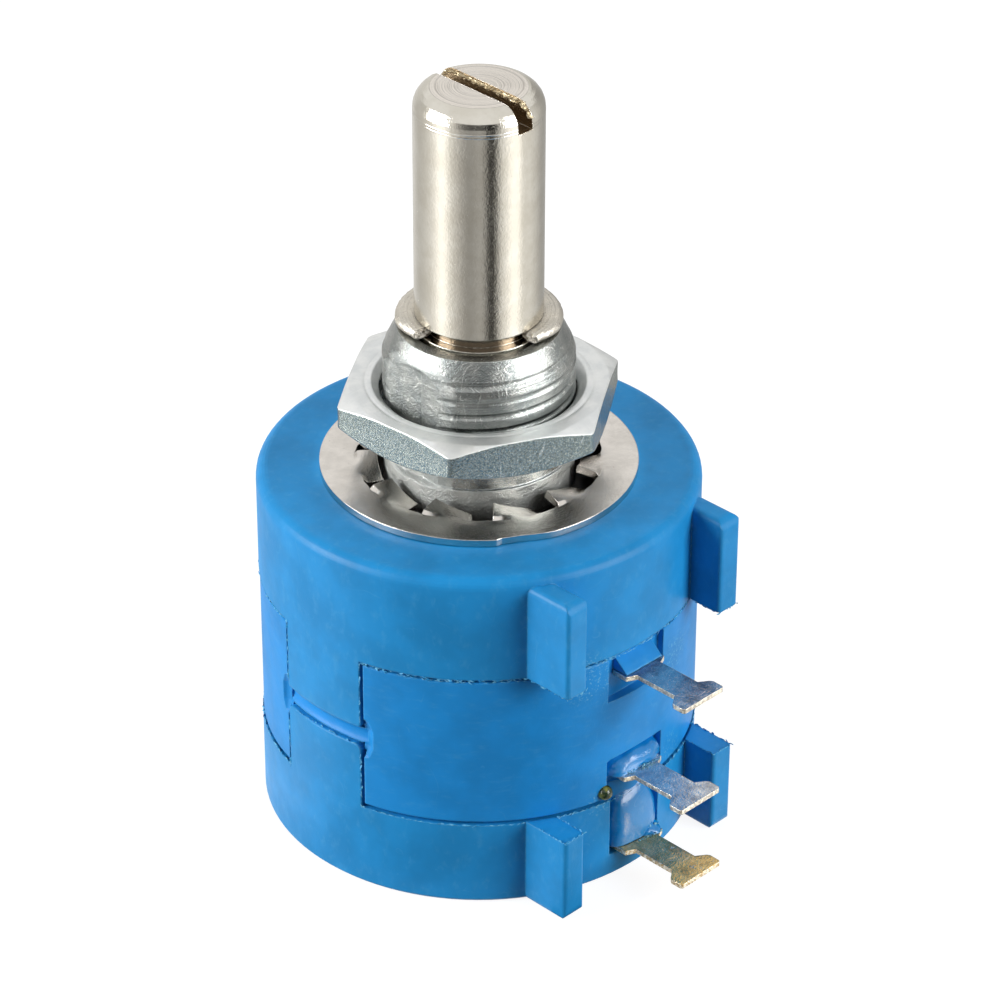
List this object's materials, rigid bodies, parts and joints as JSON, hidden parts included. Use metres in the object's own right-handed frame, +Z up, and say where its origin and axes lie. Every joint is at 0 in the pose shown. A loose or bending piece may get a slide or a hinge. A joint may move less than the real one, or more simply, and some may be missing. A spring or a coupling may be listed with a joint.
{
  "type": "multiturn potentiometer",
  "caption": "Round blue multiturn potentiometer with a slotted metal shaft, threaded bushing with nut and toothed washer, and solder terminals in a row down one side.",
  "frame": {"origin": "centre of the mounting face, on the shaft's axis", "axes": "+Z up the shaft, away from the housing; the terminals leave the housing towards -Y"},
  "size_m": [0.0222, 0.0267, 0.0397],
  "materials": {
    "cover_plastic": "semi-matt moulded blue thermoplastic",
    "housing_plastic": "semi-matt moulded blue thermoplastic",
    "nickel_shaft": "nickel-plated, finely turned",
    "cast_bushing": "zinc casting with a bright threaded end and a rough neck",
    "nickel_nut": "nickel-plated",
    "spring_steel": "nickel-plated spring steel",
    "tinned_brass": "hot tinned",
    "plain_brass": "thinly tinned",
    "wound_wire": "close-wound resistance wire",
    "rotor_plastic": "moulded",
    "carriage_plastic": "moulded",
    "contact_metal": "gold-flashed spring",
    "bearing_bronze": "sintered",
    "washer_nylon": "natural",
    "resin": "hardened drop of resin"
  },
  "bodies": {
    "housing_set": {"front_cover": "cover_plastic", "rear_cover": "cover_plastic", "coil_housing": "housing_plastic", "bushing": "cast_bushing", "lock_washer": "spring_steel", "terminal_ccw": "tinned_brass", "terminal_cw": "tinned_brass", "terminal_wiper": "plain_brass", "resistance_element": "wound_wire", "slip_ring_brush": "contact_metal", "rear_bearing": "bearing_bronze", "sealing_bead": "resin"},
    "rotor_set": {"shaft": "nickel_shaft", "retaining_ring": "spring_steel", "rotor": "rotor_plastic", "collector_strip": "contact_metal", "slip_ring": "contact_metal", "thrust_washer": "washer_nylon"},
    "carriage_set": {"wiper_carriage": "carriage_plastic", "element_wiper": "contact_metal", "collector_wiper": "contact_metal"},
    "nut_set": {"mounting_nut": "nickel_nut"}
  },
  "joints": [
    {"name": "shaft_turn", "type": "hinge", "parent": "housing_set", "child": "rotor_set", "pos_m": [0, 0, 0], "axis": [0, 0, 1], "range_deg": [-1800, 1800]},
    {"name": "carriage_travel", "type": "slide", "parent": "rotor_set", "child": "carriage_set", "axis": [0, 0, 1], "range_m": [-0.003, 0.003]},
    {"name": "nut_travel", "type": "slide", "parent": "housing_set", "child": "nut_set", "axis": [0, 0, 1], "range_m": [-0.0016, 0.0019]}
  ],
  "couplings": [
    {"joint": "shaft_turn", "follows": "carriage_travel", "rad_per_m": 10472}
  ]
}
